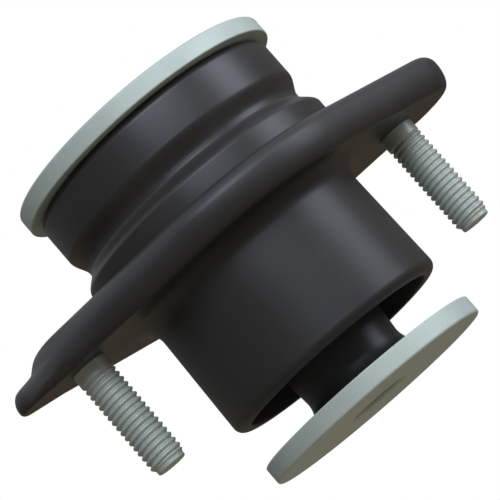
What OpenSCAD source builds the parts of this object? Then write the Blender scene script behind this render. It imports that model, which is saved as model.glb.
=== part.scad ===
// Cab mount bushing: a rubber body bonded between two plated discs and a two-stud flange housing.
// The origin is the middle of the flange's underside, +Z points to the large top plate,
// and the studs stand on the X axis and point down.

/* [Plates] */
// Diameter of the large top plate
top_plate_d = 76.2; // [74:0.1:90]
// Diameter of the small bottom plate
bottom_plate_d = 64; // [50:0.1:80]
// Thickness of the top plate
top_plate_t = 4.8; // [3:0.1:8]
// Thickness of the bottom plate
bottom_plate_t = 5; // [3:0.1:8]
// Rounding of the plates' rims at their outer faces
plate_edge_r = 0.7; // [0.3:0.1:1.4]
// Rounding of the plates' rims at the rubber's side
plate_back_r = 0.4; // [0.2:0.1:1.4]
// Diameter of the bolt hole through the plates and the sleeve
bolt_hole_d = 16.4; // [12:0.1:18]
// Rounded lead-in at the two mouths of the bolt hole
hole_lead_r = 1; // [0.3:0.1:1.4]
// Wall of the sleeve that spaces the plates
sleeve_wall = 2.8; // [2:0.1:4]

/* [Upper cushion] */
// Diameter of the cushion under the top plate
cushion_d = 71.4; // [60:0.1:73]
// Height of the cushion between the flange and the top plate
cushion_h = 26.4; // [24:0.1:40]
// How far the skirt on the flange stands out past the cushion
skirt_step = 1.2; // [0.2:0.1:2]
// Height of the skirt up to its shoulder
skirt_h = 4.8; // [1:0.1:6]
// Height over which the shoulder falls into the groove
shoulder_h = 4.3; // [2:0.1:5.5]
// Depth of the groove round the cushion
groove_depth = 2; // [0.5:0.1:4]
// Height of the groove's bottom
groove_floor = 1.6; // [0.4:0.1:2.5]
// Height over which the groove's upper side rises to the cushion
groove_rise = 4.5; // [2:0.1:6]
// Rounding of the cushion's edge under the top plate
cushion_edge_r = 2.6; // [0.4:0.1:3]

/* [Stem] */
// Diameter of the stem at its waist, just above the bottom plate
stem_waist_d = 29.5; // [27:0.1:34]
// Fillet where the stem spreads on to the bottom plate
stem_flare_r = 4.4; // [2:0.1:8]
// Fillet where the stem leaves the neck in the housing
stem_root_r = 3.6; // [1:0.1:5]
// Gap between the can's rim and the bottom plate
stem_gap = 10.1; // [6:0.1:20]

/* [Flange] */
// Distance between the two studs
stud_spacing = 101.6; // [96:0.1:112]
// Thickness of the flange
flange_t = 10.1; // [9.6:0.1:14]
// Half width of the flange at its middle
flange_mid_r = 42; // [40:0.1:46]
// Radius of the flange's full-height end
flange_end_r = 14.4; // [12:0.1:20]
// How far the middle of the full-height end lies beyond its stud
end_reach = 5.2; // [0:0.1:8]
// Rounding of the flange's upper edge at its middle
flange_edge_r = 4.6; // [1:0.1:5.6]
// Rounding of the upper edge at the full-height end
end_edge_r = 3.4; // [1:0.1:5.6]
// Rounding of the upper edge at the stepped end
step_edge_r = 6.4; // [2:0.1:6.5]
// Rounding of the flange's lower edge
flange_base_r = 3; // [1:0.1:3.1]
// How far the stepped end's middle lies inside its stud
step_inset = 2.6; // [0:0.1:8]
// Height of the lip beyond the stepped end
lip_t = 6; // [5.9:0.1:8]
// Radius of the lip's tip
lip_tip_r = 5.6; // [5:0.1:10]
// How far the middle of the lip's tip lies beyond its stud
lip_reach = 14.7; // [10:0.1:20]
// Rounding of the lip's upper edge where the lip leaves the flange
lip_edge_r = 2.9; // [0.5:0.1:3]
// Rounding of the upper edge at the lip's tip
tip_edge_r = 4.6; // [1:0.1:4.8]
// Rounding of the lower edge at the lip's tip
lip_base_r = 1.1; // [0.5:0.1:1.2]
// How far the lip's sides lie inside the flange's sides
lip_inset = 0.4; // [0.2:0.1:1]

/* [Can] */
// Outside diameter of the can at the flange
can_root_d = 61.8; // [60:0.1:66]
// Outside diameter of the can at its open rim
can_rim_d = 63.2; // [60:0.1:68]
// How far the can reaches below the flange
can_drop = 34.6; // [20:0.1:50]
// Thickness of the can's wall at its rim
can_wall = 4; // [3:0.1:4.8]
// Rounding of the rim's outer edge
rim_r = 2.4; // [0.5:0.1:2.6]
// Rounding of the rim's inner edge
rim_inner_r = 0.6; // [0.1:0.1:0.8]
// Fillet between the can and the flange
can_fillet_r = 5; // [2:0.1:6]
// Fillet between the can's wall and the web inside
web_fillet_r = 3; // [1:0.1:5]
// Thickness of the web that closes the can's upper end
web_t = 8; // [4:0.1:12]
// Diameter of the hole in the web that the rubber passes through
neck_d = 42; // [38:0.1:46]

/* [Studs] */
// Diameter of the studs
stud_d = 9.525; // [9:0.005:12.7]
// How far the studs reach below the flange
stud_reach = 30.9; // [20:0.1:45]
// How far the studs' roots, which are pressed into the flange, stand out past the studs
stud_root_step = 0.4; // [0.2:0.1:2]
// Depth of the roots' seats in the flange
stud_seat = 7; // [5:0.1:8]
// How far the studs' plain points lie inside the studs' diameter
stud_point_step = 0.8; // [0.3:0.1:1.5]
// Length of the studs' plain points
stud_point_l = 1.2; // [1:0.1:4]
// Chamfer at both ends of the point
stud_chamfer = 0.4; // [0.3:0.1:1]

/* [Hidden] */
$fn = 96;
HULL_FN = 36;
HULL_STEPS = 5;
ARC_STEPS = 8;
FLANK_STEPS = 12;
OVERLAP = 1;
SEAT_SHIFT = 0.05;

BLACK_PAINT = [0.16, 0.16, 0.17];
BLACK_RUBBER = [0.13, 0.13, 0.14];
ZINC = [0.72, 0.78, 0.78];
STEEL = [0.5, 0.52, 0.53];

bolt_r = bolt_hole_d / 2;
sleeve_r = bolt_r + sleeve_wall;
cushion_r = cushion_d / 2;
skirt_r = cushion_r + skirt_step;
groove_r = cushion_r - groove_depth;
neck_r = neck_d / 2;
stud_x = stud_spacing / 2;
stud_r = stud_d / 2;
stud_root_r = stud_r + stud_root_step;
end_x = stud_x + end_reach;
tip_x = stud_x + lip_reach;
step_x = stud_x - step_inset;
step_end_r = flange_mid_r - (flange_mid_r - lip_tip_r - lip_inset) * step_x / tip_x;

cushion_top_z = flange_t + cushion_h;
web_z = flange_t - web_t;
rim_z = -can_drop;
plate_seat_z = rim_z - stem_gap;

// Points of a circular arc about c, from angle a0 to a1
function arc(c, r, a0, a1, steps = ARC_STEPS) =
    [for (i = [0 : steps]) let (a = a0 + (a1 - a0) * i / steps) c + r * [cos(a), sin(a)]];

// Smooth rise from 0 to 1 as t goes from 0 to 1
function ease(t) = t * t * (3 - 2 * t);

// Points of a smooth slope from radius r0 to r1, over the height h that starts at z
function slope(r0, r1, z, h) =
    [for (i = [0 : FLANK_STEPS]) let (t = i / FLANK_STEPS) [r0 + (r1 - r0) * ease(t), z + h * t]];

// A plate from z = 0 to t with rounded edges; the bolt hole has its lead-in at the upper face
module plate(d, t) {
    r = d / 2;
    rotate_extrude()
        polygon(concat(
            [[bolt_r, 0]],
            arc([r - plate_back_r, plate_back_r], plate_back_r, -90, 0),
            arc([r - plate_edge_r, t - plate_edge_r], plate_edge_r, 0, 90),
            arc([bolt_r + hole_lead_r, t - hole_lead_r], hole_lead_r, 90, 180)
        ));
}

// A disc standing on z = 0, at x along the stud axis, with its upper edge and its base rounded
module rounded_disc(x, r, t, edge, base = flange_base_r) {
    translate([x, 0, 0])
        rotate_extrude($fn = HULL_FN)
            polygon(concat(
                [[0, 0]],
                arc([r - base, base], base, -90, 0, HULL_STEPS),
                arc([r - edge, t - edge], edge, 0, 90, HULL_STEPS),
                [[0, t]]
            ));
}

// Flange: a full-height plate with one round and one stepped end, and the lip under the step
module flange() {
    hull() {
        rounded_disc(0, flange_mid_r, flange_t, flange_edge_r);
        rounded_disc(end_x, flange_end_r, flange_t, end_edge_r);
        rounded_disc(-step_x, step_end_r, flange_t, step_edge_r);
    }
    hull() {
        rounded_disc(-step_x, step_end_r - lip_inset, lip_t, lip_edge_r);
        rounded_disc(-tip_x, lip_tip_r, lip_t, tip_edge_r, lip_base_r);
    }
}

// Outside of the can, with the fillet that joins it to the flange
module can_outside() {
    root_r = can_root_d / 2;
    rim = can_rim_d / 2;
    rotate_extrude()
        polygon(concat(
            [[0, rim_z]],
            arc([rim - rim_r, rim_z + rim_r], rim_r, -90, 0),
            arc([root_r + can_fillet_r, SEAT_SHIFT - can_fillet_r], can_fillet_r, 180, 90),
            [[root_r + can_fillet_r, OVERLAP], [0, OVERLAP]]
        ));
}

// Space inside the can, up to the web
module can_hollow() {
    wall_r = can_rim_d / 2 - can_wall;
    rotate_extrude()
        polygon(concat(
            [[0, rim_z - OVERLAP], [wall_r + rim_inner_r, rim_z - OVERLAP]],
            arc([wall_r + rim_inner_r, rim_z + rim_inner_r], rim_inner_r, 270, 180),
            arc([wall_r - web_fillet_r, web_z - web_fillet_r], web_fillet_r, 0, 90),
            [[0, web_z]]
        ));
}

// Puts one copy of its child at each stud
module at_studs() {
    for (side = [-1, 1])
        translate([side * stud_x, 0, 0])
            children();
}

module top_plate() {
    color(ZINC)
        translate([0, 0, cushion_top_z])
            plate(top_plate_d, top_plate_t);
}

module bottom_plate() {
    color(ZINC)
        translate([0, 0, plate_seat_z])
            mirror([0, 0, 1])
                plate(bottom_plate_d, bottom_plate_t);
}

module inner_sleeve() {
    length = cushion_top_z - plate_seat_z;
    color(STEEL)
        translate([0, 0, plate_seat_z])
            difference() {
                cylinder(r = sleeve_r, h = length);
                translate([0, 0, -OVERLAP])
                    cylinder(r = bolt_r, h = length + 2 * OVERLAP);
            }
}

// One moulding: the cushion on the flange, the neck through the web and the stem inside the can
module rubber_body() {
    waist_r = stem_waist_d / 2;
    shoulder_z = flange_t + skirt_h;
    floor_z = shoulder_z + shoulder_h;
    rise_z = floor_z + groove_floor;
    color(BLACK_RUBBER)
        rotate_extrude()
            polygon(concat(
                [[sleeve_r, plate_seat_z]],
                arc([waist_r + stem_flare_r, plate_seat_z + stem_flare_r], stem_flare_r, 270, 180),
                arc([neck_r, web_z - stem_root_r], stem_root_r, 180, 90),
                [[neck_r, flange_t], [skirt_r, flange_t]],
                slope(skirt_r, groove_r, shoulder_z, shoulder_h),
                slope(groove_r, cushion_r, rise_z, groove_rise),
                arc([cushion_r - cushion_edge_r, cushion_top_z - cushion_edge_r], cushion_edge_r, 0, 90),
                [[sleeve_r, cushion_top_z]]
            ));
}

module flange_housing() {
    color(BLACK_PAINT)
        difference() {
            union() {
                flange();
                can_outside();
            }
            can_hollow();
            translate([0, 0, web_z - OVERLAP])
                cylinder(r = neck_r, h = web_t + 2 * OVERLAP);
            at_studs()
                translate([0, 0, -OVERLAP])
                    cylinder(r = stud_root_r, h = stud_seat + OVERLAP);
        }
}

// Two plain-bodied studs, each with a wider root inside the flange and a chamfered point
module studs() {
    point_r = stud_r - stud_point_step;
    step_z = -stud_reach + stud_point_l;
    color(ZINC)
        at_studs()
            rotate_extrude()
                polygon([
                    [0, -stud_reach],
                    [point_r - stud_chamfer, -stud_reach],
                    [point_r, -stud_reach + stud_chamfer],
                    [point_r, step_z],
                    [stud_r, step_z + stud_chamfer],
                    [stud_r, 0],
                    [stud_root_r, 0],
                    [stud_root_r, stud_seat],
                    [0, stud_seat]
                ]);
}

top_plate();
rubber_body();
flange_housing();
studs();
inner_sleeve();
bottom_plate();
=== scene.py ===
"""Cab mount bushing: looks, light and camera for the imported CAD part.

Lengths in the mesh code are millimetres.
"""

import math

import bpy
from mathutils import Matrix, Vector

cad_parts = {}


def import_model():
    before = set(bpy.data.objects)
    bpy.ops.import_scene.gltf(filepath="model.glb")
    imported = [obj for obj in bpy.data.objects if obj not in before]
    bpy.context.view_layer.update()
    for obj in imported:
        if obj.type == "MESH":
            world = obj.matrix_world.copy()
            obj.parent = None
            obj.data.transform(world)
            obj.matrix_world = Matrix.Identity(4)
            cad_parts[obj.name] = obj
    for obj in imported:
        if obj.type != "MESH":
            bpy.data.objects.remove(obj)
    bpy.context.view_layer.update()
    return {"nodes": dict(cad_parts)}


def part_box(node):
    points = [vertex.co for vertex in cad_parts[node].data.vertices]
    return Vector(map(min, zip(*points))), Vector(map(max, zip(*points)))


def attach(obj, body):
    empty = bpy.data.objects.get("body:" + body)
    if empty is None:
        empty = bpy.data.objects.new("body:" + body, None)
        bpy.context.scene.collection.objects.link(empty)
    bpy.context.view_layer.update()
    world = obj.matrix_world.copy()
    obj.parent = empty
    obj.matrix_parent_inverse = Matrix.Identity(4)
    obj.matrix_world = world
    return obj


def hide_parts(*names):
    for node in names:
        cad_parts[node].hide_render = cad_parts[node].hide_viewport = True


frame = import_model()
scene = bpy.context.scene
nodes = frame["nodes"]
MM = 0.001

# Sizes shared with the CAD source: the flange, its stepped end and the lip there
STUD_X = 50.8
FLANGE_T = 10.1
FLANGE_MID_R = 42.0
FLANGE_END_R = 14.4
FLANGE_END_X = STUD_X + 5.2
END_EDGE_R = 3.4
STEP_EDGE_R = 6.4
LIP_T = 6.0
LIP_TIP_R = 5.6
LIP_TIP_X = STUD_X + 14.7
LIP_EDGE_R = 2.9
TIP_EDGE_R = 4.6
LIP_BASE_R = 1.1
LIP_INSET = 0.4
STEP_X = STUD_X - 2.6
STEP_R = FLANGE_MID_R - (FLANGE_MID_R - LIP_TIP_R - LIP_INSET) * STEP_X / LIP_TIP_X

# Sizes shared with the CAD source: the can, its rim and its web
CAN_ROOT_R = 30.9
CAN_RIM_R = 31.6
CAN_DROP = 34.6
CAN_WALL_R = CAN_RIM_R - 4.0
CAN_FILLET_R = 5.0
RIM_R = 2.4
RIM_INNER_R = 0.6
WEB_FILLET_R = 3.0
WEB_Z = FLANGE_T - 8.0

# Sizes shared with the CAD source: the rubber
NECK_R = 21.0
CUSHION_R = 35.7
CUSHION_H = 26.4
CUSHION_EDGE_R = 2.6
SKIRT_R = CUSHION_R + 1.2
SKIRT_H = 4.8
SHOULDER_H = 4.3
GROOVE_R = CUSHION_R - 2.0
GROOVE_FLOOR = 1.6
GROOVE_RISE = 4.5
SLEEVE_R = 11.0
ROOT_R = 3.6
PLATE_SEAT_Z = -CAN_DROP - 10.1

# Sizes shared with the CAD source: the studs
STUD_R = 4.7625
STUD_REACH = 30.9
STUD_POINT_R = STUD_R - 0.8
STUD_POINT_L = 1.2
STUD_CHAMFER = 0.4

# Sizes that only the looks have: the flange's upper and lower edge, and the fillet behind the lip's top
FLANGE_EDGE_R = 3.8
BASE_INSET = 3.0
BASE_H = 6.3
LIP_FILLET_R = 1.0

# Sizes that only the looks have: how early the groove's slope starts, the stem's waist and its foot
GROOVE_LEAD = 0.9
WAIST_R = 14.1
FLARE_R = 3.6
FLARE_H = 5.2
SKIRT_BEVEL = 0.2

# Sizes that only the looks have: the thread, the plain shank above it and the cone down to the point
PITCH = 1.5875
THREAD_DEPTH = 0.62
THREAD_POWER = 1.3
RUN_OUT = 0.4 * PITCH
SHANK = 3.1
LEAD_CONE = 1.0
STUD_SUNK = 0.5
PINHOLE_R = 0.05

# Mesh steps of half a flange level: round end, each taper, middle, beside the lip, along it and
# round its tip
END_STEPS = 20
TAPER_STEPS = 14
MIDDLE_STEPS = 56
BESIDE_STEPS = 8
LIP_STEPS = 6
TIP_STEPS = 18
FRONT_STEPS = LIP_STEPS + TIP_STEPS
STEPPED_POINTS = BESIDE_STEPS + FRONT_STEPS + 1

# Mesh steps over the lower and upper roundings, and the width of the flat ring beside a rounding
EDGE_STEPS = 12
UPPER_EDGE_STEPS = 16
FLAT = 0.3

# The smoothed patch: runs, first level, levels left alone at the top, columns ahead of the stepped
# end, share of each run, and the widths over which it fades, in columns and in levels
SOFTEN_RUNS = 120
SOFTEN_FIRST = 12
SOFTEN_TOP = 5
SOFTEN_AHEAD = 9
SOFTEN_SHARE = 0.5
AHEAD_FADE = 8
LOW_FADE, HIGH_FADE = 4, 8

# Towards the lip's tip the patch weakens and starts higher: first column, width and amount of each
WEAKEN_FROM, WEAKEN_FADE, WEAKEN_TO = 12, 16, 0.5
RAISE_FROM, RAISE_FADE, RAISE_BY = BESIDE_STEPS, 10, 10

# Mesh steps of the turned rubber, its slopes and the studs
RUBBER_STEPS = 192
SLOPE_STEPS = 32
STUD_STEPS = 96
ROWS_PER_PITCH = 18

# The photograph's camera: degrees, millimetres, and pixels of its 500 pixel frame
VIEW_AZIMUTH, VIEW_ELEVATION, VIEW_ROLL = -21.60, -8.633, 40.974
VIEW_FROM = (-228.59, -577.01, -95.59)
FOCAL_PX = 2562.19
IMAGE_PX = 500
SENSOR_WIDTH = 36

# The stage, in metres
FLOOR_HALF = 1.6
FLOOR_GAP = 0.0003
LAMP_DISTANCE = 0.8


def arc(cx, cy, r, a0, a1, steps):
    """Points of a circular arc in degrees, both ends included."""
    turn = [math.radians(a0 + (a1 - a0) * i / steps) for i in range(steps + 1)]
    return [(cx + r * math.cos(a), cy + r * math.sin(a)) for a in turn]


def ease(x):
    """Smooth step from 0 to 1."""
    x = min(max(x, 0.0), 1.0)
    return x * x * (3 - 2 * x)


def lerp(a, b, t):
    """Value at a share t of the way from a to b."""
    return a + (b - a) * t


def between(a, b, steps):
    """Points that divide the line from a to b, without its ends."""
    return [tuple(lerp(p, q, i / steps) for p, q in zip(a, b)) for i in range(1, steps)]


def at_height(points, z):
    """Plan points lifted to a height."""
    return [(x, y, z) for x, y in points]


def grid_piece(name, rings, closed, material):
    """A mesh of rings with equal counts of points. closed joins the last ring to the first."""
    count = len(rings[0])
    verts = [tuple(c * MM for c in p) for ring in rings for p in ring]
    faces = []
    for j in range(len(rings) if closed else len(rings) - 1):
        low, high = j * count, (j + 1) % len(rings) * count
        for i in range(count):
            k = (i + 1) % count
            faces.append((low + i, low + k, high + k, high + i))
    mesh = bpy.data.meshes.new(name)
    mesh.from_pydata(verts, [], faces)
    mesh.polygons.foreach_set("use_smooth", [True] * len(mesh.polygons))
    mesh.materials.append(material)
    mesh.update()
    piece = bpy.data.objects.new(name, mesh)
    scene.collection.objects.link(piece)
    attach(piece, "root")
    return piece


def mark_sharp(piece, degrees):
    """Marks edges that turn by more than the angle as sharp, so that flats stay flat."""
    piece.data.set_sharp_from_angle(angle=math.radians(degrees))


def revolve(profile, turn):
    """Rings of a profile of (radius, height) points, with a point at each angle about Z."""
    return [[(r * math.cos(a), r * math.sin(a), z) for a in turn] for r, z in profile]


def full_turn(steps):
    """Angles of one turn in equal steps."""
    return [2 * math.pi * i / steps for i in range(steps)]


# Materials


class Shader:
    """Short names for the nodes of one material."""

    def __init__(self, name):
        self.material = bpy.data.materials.new(name)
        self.material.use_nodes = True
        self.tree = self.material.node_tree
        self.surface = self.tree.nodes["Principled BSDF"]
        coords = self.tree.nodes.new("ShaderNodeTexCoord")
        self.coords = coords.outputs["Object"]

    def link(self, out, into):
        self.tree.links.new(out, into)

    def feed(self, socket, value):
        """Links an output to a socket, or sets a plain value on it."""
        if hasattr(value, "links"):
            self.link(value, socket)
        else:
            socket.default_value = value

    def noise(self, scale, detail, roughness):
        node = self.tree.nodes.new("ShaderNodeTexNoise")
        node.inputs["Scale"].default_value = scale
        node.inputs["Detail"].default_value = detail
        node.inputs["Roughness"].default_value = roughness
        self.link(self.coords, node.inputs["Vector"])
        return node.outputs["Fac"]

    def ramp(self, value, *stops):
        """Colour between two stops, each a place and a colour."""
        node = self.tree.nodes.new("ShaderNodeValToRGB")
        for element, (place, colour) in zip(node.color_ramp.elements, stops):
            element.position, element.color = place, (*colour, 1)
        self.link(value, node.inputs["Fac"])
        return node.outputs["Color"]

    def span(self, value, low, high):
        """Maps the usual range of a noise to a range of values."""
        node = self.tree.nodes.new("ShaderNodeMapRange")
        node.inputs["From Min"].default_value = 0.3
        node.inputs["From Max"].default_value = 0.7
        node.inputs["To Min"].default_value = low
        node.inputs["To Max"].default_value = high
        self.link(value, node.inputs["Value"])
        return node.outputs["Result"]

    def mix(self, fac, a, b, blend):
        """Blends two colours, by the node's colour sockets: factor 0, inputs 6 and 7, output 2."""
        node = self.tree.nodes.new("ShaderNodeMix")
        node.data_type = "RGBA"
        node.blend_type = blend
        for socket, value in ((0, fac), (6, a), (7, b)):
            self.feed(node.inputs[socket], value)
        return node.outputs[2]

    def bump(self, height, strength, distance, below=None):
        node = self.tree.nodes.new("ShaderNodeBump")
        node.inputs["Strength"].default_value = strength
        node.inputs["Distance"].default_value = distance
        self.link(height, node.inputs["Height"])
        if below:
            self.link(below, node.inputs["Normal"])
        return node.outputs["Normal"]

    def set(self, **values):
        """Feeds the surface's sockets, with underscores for the spaces in their names."""
        for name, value in values.items():
            self.feed(self.surface.inputs[name.replace("_", " ")], value)


def zinc(name, light, dark, metallic, rough, speckle):
    """Dull zinc plating: cloudy tone, fine spangle and a faint pitted grain."""
    s = Shader(name)
    cloud = s.noise(scale=120, detail=5, roughness=0.6)
    spangle = s.noise(scale=1400, detail=3, roughness=0.6)
    tone = s.ramp(cloud, (0.34, dark), (0.66, light))
    grain = s.ramp(spangle, (0.3, (0.9, 0.9, 0.9)), (0.7, (1.0, 1.0, 1.0)))
    cloud_bump = s.bump(cloud, strength=0.06, distance=0.0003)
    s.set(
        Base_Color=s.mix(speckle, tone, grain, "MULTIPLY"),
        Metallic=metallic,
        Roughness=s.span(spangle, rough - 0.05, rough + 0.05),
        Specular_IOR_Level=0.35,
        Normal=s.bump(spangle, strength=0.11 * speckle, distance=0.00003, below=cloud_bump),
    )
    return s.material


def satin_black(name, low, high, rough, peel, gloss):
    """Black satin surface with a soft orange peel, a little dust in its tone and a cool sheen."""
    s = Shader(name)
    patch = s.noise(scale=60, detail=5, roughness=0.6)
    fine = s.noise(scale=peel, detail=3, roughness=0.5)
    dust = s.noise(scale=4200, detail=2, roughness=0.5)
    tone = s.ramp(patch, (0.3, low), (0.7, high))
    fleck = s.ramp(dust, (0.62, (0, 0, 0)), (0.8, (0.01, 0.01, 0.01)))
    peel_bump = s.bump(fine, strength=0.1, distance=0.00006)
    s.set(
        Base_Color=s.mix(1.0, tone, fleck, "ADD"),
        Roughness=s.span(patch, rough - 0.03, rough + 0.04),
        Specular_IOR_Level=gloss,
        Specular_Tint=(0.74, 0.82, 1.0, 1),
        Normal=s.bump(dust, strength=0.06, distance=0.00002, below=peel_bump),
    )
    return s.material


zinc_plate = zinc(
    "zinc_plate", light=(0.5, 0.61, 0.63), dark=(0.455, 0.56, 0.58),
    metallic=0.1, rough=0.52, speckle=0.7,
)
zinc_stud = zinc(
    "zinc_stud", light=(0.44, 0.515, 0.525), dark=(0.4, 0.465, 0.475),
    metallic=0.2, rough=0.42, speckle=0.3,
)
sleeve_steel = zinc(
    "sleeve_steel", light=(0.36, 0.38, 0.39), dark=(0.26, 0.28, 0.29),
    metallic=0.6, rough=0.45, speckle=0.7,
)
black_paint = satin_black(
    "black_paint", low=(0.021, 0.0208, 0.0203), high=(0.027, 0.0267, 0.026),
    rough=0.45, peel=700, gloss=0.5,
)
black_rubber = satin_black(
    "black_rubber", low=(0.02, 0.0198, 0.0194), high=(0.026, 0.0257, 0.025),
    rough=0.39, peel=1100, gloss=0.46,
)


# Flange housing


def edge_radius(full, edge, z):
    """Radius of one of the flange's discs at a height, with its upper edge rounded."""
    return full - edge + math.sqrt(edge ** 2 - max(z - FLANGE_T + edge, 0) ** 2)


def step_radius(z):
    """Radius of the stepped end's disc at a height."""
    return edge_radius(STEP_R, STEP_EDGE_R, z)


def base_inset(z):
    """How far the flange's side has drawn in at a height, where it rounds into the underside."""
    return BASE_INSET * (1 - math.sqrt(1 - max(1 - z / BASE_H, 0) ** 2))


def taper(z):
    """Direction of the side that joins the middle to the stepped end, in degrees."""
    gap = edge_radius(FLANGE_MID_R, FLANGE_EDGE_R, z) - step_radius(z)
    return 180 - math.degrees(math.acos(gap / STEP_X))


def lip_turn(side, tip_r):
    """Direction of the lip's side in degrees, from the radii that it touches at both of its ends."""
    return 180 - math.degrees(math.acos((side - tip_r) / (LIP_TIP_X - STEP_X)))


# Radius that the side of the lip's flat top touches, and the direction where it leaves the stepped end
LIP_FLAT = STEP_R - LIP_INSET - LIP_EDGE_R
LIP_SPLIT = lip_turn(LIP_FLAT, LIP_TIP_R - TIP_EDGE_R)
LIP_SPLIT += math.degrees(math.acos(LIP_FLAT / step_radius(LIP_T)))


def step_end(r, z):
    """Half of the stepped end as a plain arc, split where the lip starts."""
    beside = arc(-STEP_X, 0, r, taper(z), LIP_SPLIT, BESIDE_STEPS)
    front = arc(-STEP_X, 0, r, LIP_SPLIT, 180, FRONT_STEPS)
    return at_height(beside + front[1:], z)


def lip_end(r, z, side, tip_r, tip_z):
    """Half of the stepped end with the lip: the flange's side, the lip's side and its tip."""
    turn = lip_turn(side, tip_r)
    split = turn + math.degrees(math.acos(side / r))
    beside = at_height(arc(-STEP_X, 0, r, taper(z), split, BESIDE_STEPS), z)
    tip = at_height(arc(-LIP_TIP_X, 0, tip_r, turn, 180, TIP_STEPS), tip_z)
    return beside + between(beside[-1], tip[0], LIP_STEPS) + tip


def flange_half(inset, z, stepped):
    """Half of one level of the flange: round end, middle and the given half of the stepped end."""
    inset += base_inset(z)
    mid_r = edge_radius(FLANGE_MID_R, FLANGE_EDGE_R, z) - inset
    end_r = edge_radius(FLANGE_END_R, END_EDGE_R, z) - inset
    turn = math.degrees(math.acos((mid_r - end_r) / FLANGE_END_X))
    end = at_height(arc(FLANGE_END_X, 0, end_r, 0, turn, END_STEPS), z)
    middle = at_height(arc(0, 0, mid_r, turn, taper(z), MIDDLE_STEPS), z)
    half = end + between(end[-1], middle[0], TAPER_STEPS)
    half += middle + between(middle[-1], stepped[0], TAPER_STEPS)
    return half + stepped


def soften_weight(level, last, column):
    """Share of the smoothing that a point takes. Column 0 is the stepped end's first."""
    ahead = ease((column + SOFTEN_AHEAD) / AHEAD_FADE)
    to_tip = lerp(1, WEAKEN_TO, ease((column - WEAKEN_FROM) / WEAKEN_FADE))
    # Round the tip it starts at a higher level, so that the tip keeps its own rounding
    raised = ease((column - RAISE_FROM) / RAISE_FADE)
    first = lerp(SOFTEN_FIRST, SOFTEN_FIRST + RAISE_BY, raised)
    low, high = ease((level - first + 1) / LOW_FADE), ease((last - level) / HIGH_FADE)
    return SOFTEN_SHARE * ahead * to_tip * (low * high)


def soften(halves):
    """Smooths the valley beside the lip, so that the flange's side runs on into it."""
    last = len(halves) - SOFTEN_TOP
    start = len(halves[0]) - STEPPED_POINTS
    cells = [
        (j, start + k, soften_weight(j, last, k))
        for j in range(SOFTEN_FIRST, last)
        for k in range(-SOFTEN_AHEAD, STEPPED_POINTS)
    ]
    for _ in range(SOFTEN_RUNS):
        moved = []
        for j, c, weight in cells:
            x, y, z = halves[j][c - 1]
            # The last column lies on the plane of symmetry, so its other neighbour is the mirrored one
            beyond = halves[j][c + 1] if c + 1 < len(halves[j]) else (x, -y, z)
            around = (halves[j - 1][c], halves[j + 1][c], (x, y, z), beyond)
            mean = [sum(axis) / 4 for axis in zip(*around)]
            moved.append((j, c, tuple(lerp(a, b, weight) for a, b in zip(halves[j][c], mean))))
        for j, c, point in moved:
            halves[j][c] = point


def flange_levels():
    """Rings of the flange from its underside to its top."""
    halves = []
    # Flat underside and the rounded lower edge, with the levels closest at the bottom
    base = [(FLAT, 0, LIP_BASE_R + FLAT, 0)]
    for i, (u, v) in enumerate(arc(-LIP_BASE_R, LIP_BASE_R, LIP_BASE_R, -90, 0, EDGE_STEPS)):
        base.append((0, (LIP_T - LIP_EDGE_R) * (i / EDGE_STEPS) ** 2, -u, v))
    for inset, z, tip_inset, tip_z in base:
        r = STEP_R - base_inset(z) - inset
        stepped = lip_end(r, z, r - LIP_INSET, LIP_TIP_R - tip_inset, tip_z)
        halves.append(flange_half(inset, z, stepped))
    # The lip's rounded upper edge, wider at its tip
    for (x, z), (u, v) in zip(
        arc(-LIP_EDGE_R, LIP_T - LIP_EDGE_R, LIP_EDGE_R, 0, 90, EDGE_STEPS),
        arc(-TIP_EDGE_R, LIP_T - TIP_EDGE_R, TIP_EDGE_R, 0, 90, EDGE_STEPS),
    ):
        side = STEP_R - LIP_INSET - base_inset(z) + x
        lip_edge = lip_end(step_radius(z) - base_inset(z), z, side, LIP_TIP_R + u, v)
        halves.append(flange_half(0, z, lip_edge))
    # The lip's flat top and the fillet up to the rounded end
    wall_top = FLANGE_T - STEP_EDGE_R
    front_x, back_x = STEP_X + STEP_R, LIP_TIP_X + LIP_TIP_R - TIP_EDGE_R
    round_x = front_x - STEP_EDGE_R
    rise = LIP_T + LIP_FILLET_R - wall_top
    run = math.sqrt((STEP_EDGE_R + LIP_FILLET_R) ** 2 - rise ** 2)
    meet = math.degrees(math.atan2(rise, run))
    meet_z = wall_top + STEP_EDGE_R * math.sin(math.radians(meet))
    top = [(lerp(back_x, round_x + run, t), LIP_T) for t in (0.08, 0.5, 0.92)]
    top += arc(round_x + run, LIP_T + LIP_FILLET_R, LIP_FILLET_R, 270, 180 + meet, 6)[:-1]
    split = BESIDE_STEPS + 1
    for i, (x, lip_z) in enumerate(top):
        z = lerp(LIP_T, meet_z, (i + 1) / (len(top) + 1))
        stepped = step_end(step_radius(z), z)[:split]
        near = step_end(min(x - STEP_X, STEP_R), lip_z)
        t = max((x - front_x) / (back_x - front_x), 0)
        for a, b in zip(near[split:], lip_edge[split:]):
            stepped.append((lerp(a[0], b[0], t), lerp(a[1], b[1], t), lip_z))
        halves.append(flange_half(0, z, stepped))
    # The rounded upper edge and the flat top
    for _, z in arc(0, wall_top, STEP_EDGE_R, meet, 90, UPPER_EDGE_STEPS):
        halves.append(flange_half(0, z, step_end(step_radius(z), z)))
    top_end = step_end(STEP_R - STEP_EDGE_R - FLAT, FLANGE_T)
    halves.append(flange_half(FLAT, FLANGE_T, top_end))
    soften(halves)
    return [half + [(x, -y, z) for x, y, z in reversed(half[1:-1])] for half in halves]


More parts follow.
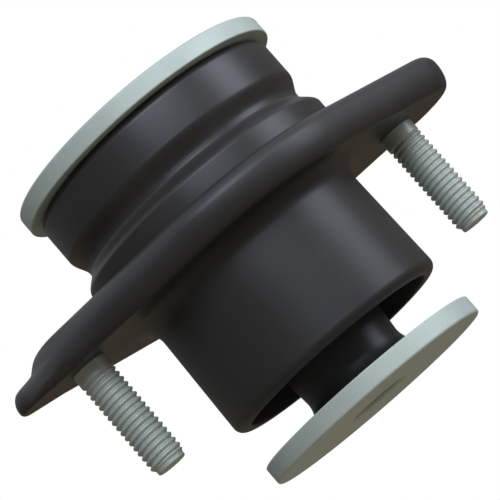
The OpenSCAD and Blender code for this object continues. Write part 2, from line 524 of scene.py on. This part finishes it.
def flange_housing():
    """Flange, web and can in one closed mesh. The can's rings take their angles from the flange."""
    rings = flange_levels()
    turn = [math.atan2(y, x) for x, y, _ in rings[0]]
    rim_z = -CAN_DROP
    fillet_r = CAN_ROOT_R + CAN_FILLET_R
    can = [(NECK_R + FLAT, FLANGE_T), (NECK_R, FLANGE_T), (NECK_R, WEB_Z), (NECK_R + FLAT, WEB_Z)]
    can += arc(CAN_WALL_R - WEB_FILLET_R, WEB_Z - WEB_FILLET_R, WEB_FILLET_R, 90, 0, steps=8)
    can += arc(CAN_WALL_R + RIM_INNER_R, rim_z + RIM_INNER_R, RIM_INNER_R, 180, 270, steps=5)
    can += arc(CAN_RIM_R - RIM_R, rim_z + RIM_R, RIM_R, -90, 0, steps=10)
    can += arc(fillet_r, -CAN_FILLET_R, CAN_FILLET_R, 180, 90, steps=12)
    can.append((fillet_r + FLAT, 0))
    rings += revolve(can, turn)
    piece = grid_piece("flange_housing_body", rings, True, black_paint)
    mark_sharp(piece, degrees=40)
    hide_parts("flange_housing")


# Rubber body


def slope(r0, r1, z, h):
    """Points of a smooth slope from one radius to another over a height."""
    shares = [i / SLOPE_STEPS for i in range(SLOPE_STEPS + 1)]
    return [(lerp(r0, r1, ease(t)), z + h * t) for t in shares]


def rubber_body():
    """The moulding as one turned profile, from its foot up the outside to the cushion's top."""
    shoulder_z = FLANGE_T + SKIRT_H
    rise_z = shoulder_z + SHOULDER_H + GROOVE_FLOOR
    top_z = FLANGE_T + CUSHION_H
    edge_z = top_z - CUSHION_EDGE_R
    profile = [(SLEEVE_R, PLATE_SEAT_Z)]
    flare = arc(WAIST_R + FLARE_R, 0, FLARE_R, 270, 180, steps=16)
    profile += [(r, PLATE_SEAT_Z + (h / FLARE_R + 1) * FLARE_H) for r, h in flare]
    profile += arc(NECK_R, WEB_Z - ROOT_R, ROOT_R, 180, 90, steps=10)
    profile.append((NECK_R, FLANGE_T))
    profile += [(SKIRT_R - SKIRT_BEVEL, FLANGE_T), (SKIRT_R, FLANGE_T + SKIRT_BEVEL)]
    profile += slope(SKIRT_R, GROOVE_R, shoulder_z, SHOULDER_H)
    profile += slope(GROOVE_R, CUSHION_R, rise_z - GROOVE_LEAD, GROOVE_RISE + GROOVE_LEAD)
    profile += arc(CUSHION_R - CUSHION_EDGE_R, edge_z, CUSHION_EDGE_R, 0, 90, steps=10)
    profile.append((SLEEVE_R, top_z))
    rings = revolve(profile, full_turn(RUBBER_STEPS))
    piece = grid_piece("rubber_body_moulding", rings, True, black_rubber)
    mark_sharp(piece, degrees=40)
    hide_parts("rubber_body")


# Studs


def thread_depth(z, turn):
    """Depth of the thread groove at a height and an angle, with a run-out at the shank."""
    phase = (z / PITCH - turn / (2 * math.pi)) % 1.0
    groove = (0.5 + 0.5 * math.cos(2 * math.pi * phase)) ** THREAD_POWER
    return THREAD_DEPTH * groove * ease((-z - SHANK) / RUN_OUT)


def stud_outline(z):
    """Largest radius of a stud at a height: its body, the cone to its point and the rounded end."""
    end = z + STUD_REACH
    if end < STUD_CHAMFER:
        drop = 1 - math.sqrt(max(1 - (1 - end / STUD_CHAMFER) ** 2, 0))
        return STUD_POINT_R - STUD_CHAMFER * drop
    cone = min(max((end - STUD_POINT_L) / LEAD_CONE, 0), 1)
    return STUD_POINT_R + cone * (STUD_R - STUD_POINT_R)


def stud_heights():
    """Heights of a stud's rows. Single rows close to a corner hold the shading of the flats."""
    top, bottom = -SHANK + 0.3, -STUD_REACH + STUD_POINT_L
    rows = int((top - bottom) / PITCH * ROWS_PER_PITCH)
    heights = [STUD_SUNK, 0.0, -0.15, top + 0.2]
    heights += [lerp(top, bottom, i / rows) for i in range(rows + 1)]
    heights += [bottom - 0.3, -STUD_REACH + STUD_CHAMFER + 0.05]
    for angle in range(0, 91, 15):
        heights.append(-STUD_REACH + STUD_CHAMFER * (1 - math.sin(math.radians(angle))))
    return heights


def studs():
    """Two threaded studs, from inside the flange down to the point, with nearly closed ends."""
    turn = full_turn(STUD_STEPS)
    end_r = STUD_POINT_R - STUD_CHAMFER
    rows = [(STUD_SUNK, [PINHOLE_R] * STUD_STEPS)]
    for z in stud_heights():
        rows.append((z, [min(STUD_R - thread_depth(z, a), stud_outline(z)) for a in turn]))
    for r in (end_r - 0.15, end_r * 0.5, PINHOLE_R):
        rows.append((-STUD_REACH, [r] * STUD_STEPS))
    rows.reverse()
    for side, x in (("left", -STUD_X), ("right", STUD_X)):
        rings = [
            [(x + r * math.cos(a), r * math.sin(a), z) for r, a in zip(radii, turn)]
            for z, radii in rows
        ]
        piece = grid_piece("stud_" + side, rings, False, zinc_stud)
        mark_sharp(piece, degrees=50)
        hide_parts("studs")


def dress(name, material):
    """Gives a carried CAD node its material."""
    mesh = nodes[name].data
    mesh.materials.clear()
    mesh.materials.append(material)


# Stage and light


def floor():
    """Pale floor under the bottom plate. It shows from above only: a low camera sees through it."""
    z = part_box("bottom_plate")[0].z - FLOOR_GAP
    corners = [(-1, -1), (1, -1), (1, 1), (-1, 1)]
    mesh = bpy.data.meshes.new("floor")
    mesh.from_pydata([(x * FLOOR_HALF, y * FLOOR_HALF, z) for x, y in corners], [], [(0, 1, 2, 3)])
    piece = bpy.data.objects.new("floor", mesh)
    scene.collection.objects.link(piece)
    material = bpy.data.materials.new("floor")
    material.use_nodes = True
    tree = material.node_tree
    tree.nodes.clear()
    out = tree.nodes.new("ShaderNodeOutputMaterial")
    mix = tree.nodes.new("ShaderNodeMixShader")
    side = tree.nodes.new("ShaderNodeNewGeometry")
    pale = tree.nodes.new("ShaderNodeBsdfDiffuse")
    glow = tree.nodes.new("ShaderNodeEmission")
    lit = tree.nodes.new("ShaderNodeAddShader")
    clear = tree.nodes.new("ShaderNodeBsdfTransparent")
    pale.inputs["Color"].default_value = (0.86, 0.86, 0.86, 1)
    glow.inputs["Strength"].default_value = 0.35
    tree.links.new(side.outputs["Backfacing"], mix.inputs[0])
    tree.links.new(pale.outputs[0], lit.inputs[0])
    tree.links.new(glow.outputs[0], lit.inputs[1])
    tree.links.new(lit.outputs[0], mix.inputs[1])
    tree.links.new(clear.outputs[0], mix.inputs[2])
    tree.links.new(mix.outputs[0], out.inputs["Surface"])
    mesh.materials.append(material)
    piece.visible_shadow = False
    piece.visible_diffuse = False
    piece.visible_glossy = False


def world():
    """White for the camera. Fill and reflections see a room with a warm floor and a dim horizon."""
    scene.world = bpy.data.worlds.new("studio")
    scene.world.use_nodes = True
    tree = scene.world.node_tree
    tree.nodes.clear()
    out = tree.nodes.new("ShaderNodeOutputWorld")
    path = tree.nodes.new("ShaderNodeLightPath")
    coords = tree.nodes.new("ShaderNodeTexCoord")
    split = tree.nodes.new("ShaderNodeSeparateXYZ")
    height = tree.nodes.new("ShaderNodeMapRange")
    height.inputs["From Min"].default_value = -1
    tree.links.new(coords.outputs["Generated"], split.inputs[0])
    tree.links.new(split.outputs["Z"], height.inputs["Value"])

    def room(*stops):
        """Background with a colour for each height, from -1 straight down to 1 straight up."""
        ramp = tree.nodes.new("ShaderNodeValToRGB")
        for element, (z, colour) in zip(ramp.color_ramp.elements, (stops[0], stops[-1])):
            element.position, element.color = (z + 1) / 2, (*colour, 1)
        for z, colour in stops[1:-1]:
            ramp.color_ramp.elements.new((z + 1) / 2).color = (*colour, 1)
        light = tree.nodes.new("ShaderNodeBackground")
        tree.links.new(height.outputs["Result"], ramp.inputs["Fac"])
        tree.links.new(ramp.outputs["Color"], light.inputs["Color"])
        return light

    def choose(switch, low, high):
        mix = tree.nodes.new("ShaderNodeMixShader")
        for i, source in enumerate((switch, low.outputs[0], high.outputs[0])):
            tree.links.new(source, mix.inputs[i])
        return mix

    fill = room((-0.1, (0.3, 0.255, 0.19)), (0.1, (0.083, 0.084, 0.078)))
    seen = room(
        (-0.1, (0.2, 0.165, 0.12)),
        (0.08, (0.12, 0.12, 0.12)),
        (0.5, (0.4, 0.4, 0.41)),
        (1, (1, 1, 1)),
    )
    white = tree.nodes.new("ShaderNodeBackground")
    white.inputs["Color"].default_value = (1, 1, 1, 1)
    surface = choose(path.outputs["Is Glossy Ray"], fill, seen)
    surface = choose(path.outputs["Is Transmission Ray"], surface, white)
    surface = choose(path.outputs["Is Camera Ray"], surface, white)
    tree.links.new(surface.outputs[0], out.inputs["Surface"])


def lamp(name, azimuth, elevation, size, power):
    """A white soft box that faces the object from a direction in degrees."""
    a, e = math.radians(azimuth), math.radians(elevation)
    way = Vector((math.cos(e) * math.cos(a), math.cos(e) * math.sin(a), math.sin(e)))
    data = bpy.data.lights.new(name, "AREA")
    data.shape = "RECTANGLE"
    data.size, data.size_y = size
    data.energy = power
    piece = bpy.data.objects.new(name, data)
    scene.collection.objects.link(piece)
    piece.location = way * LAMP_DISTANCE
    piece.rotation_euler = way.to_track_quat("Z", "Y").to_euler()


def camera():
    """Camera of the photograph, from the resection of the plates, the can and the studs."""
    azimuth, elevation = math.radians(VIEW_AZIMUTH), math.radians(VIEW_ELEVATION)
    roll = math.radians(VIEW_ROLL)
    back = Vector((
        math.sin(azimuth) * math.cos(elevation),
        -math.cos(azimuth) * math.cos(elevation),
        math.sin(elevation),
    ))
    right = (-back).cross(Vector((0, 0, 1))).normalized()
    down = (-back).cross(right)
    across = math.cos(roll) * right + math.sin(roll) * down
    up = math.sin(roll) * right - math.cos(roll) * down
    data = bpy.data.cameras.new("camera")
    data.sensor_width = SENSOR_WIDTH
    data.lens = FOCAL_PX * SENSOR_WIDTH / IMAGE_PX
    data.clip_start = 0.01
    piece = bpy.data.objects.new("camera", data)
    scene.collection.objects.link(piece)
    turn = Matrix((across, up, back)).transposed().to_4x4()
    piece.matrix_world = Matrix.Translation(Vector(VIEW_FROM) * MM) @ turn
    scene.camera = piece


flange_housing()
rubber_body()
studs()
dress("top_plate", zinc_plate)
dress("bottom_plate", zinc_plate)
dress("inner_sleeve", sleeve_steel)
floor()
world()
lamp("front_box", azimuth=-96, elevation=29, size=(0.6, 0.38), power=4.1)
lamp("side_box", azimuth=-33, elevation=15, size=(0.34, 0.5), power=3.1)
camera()
scene.view_settings.view_transform = "Standard"

bpy.context.view_layer.update()
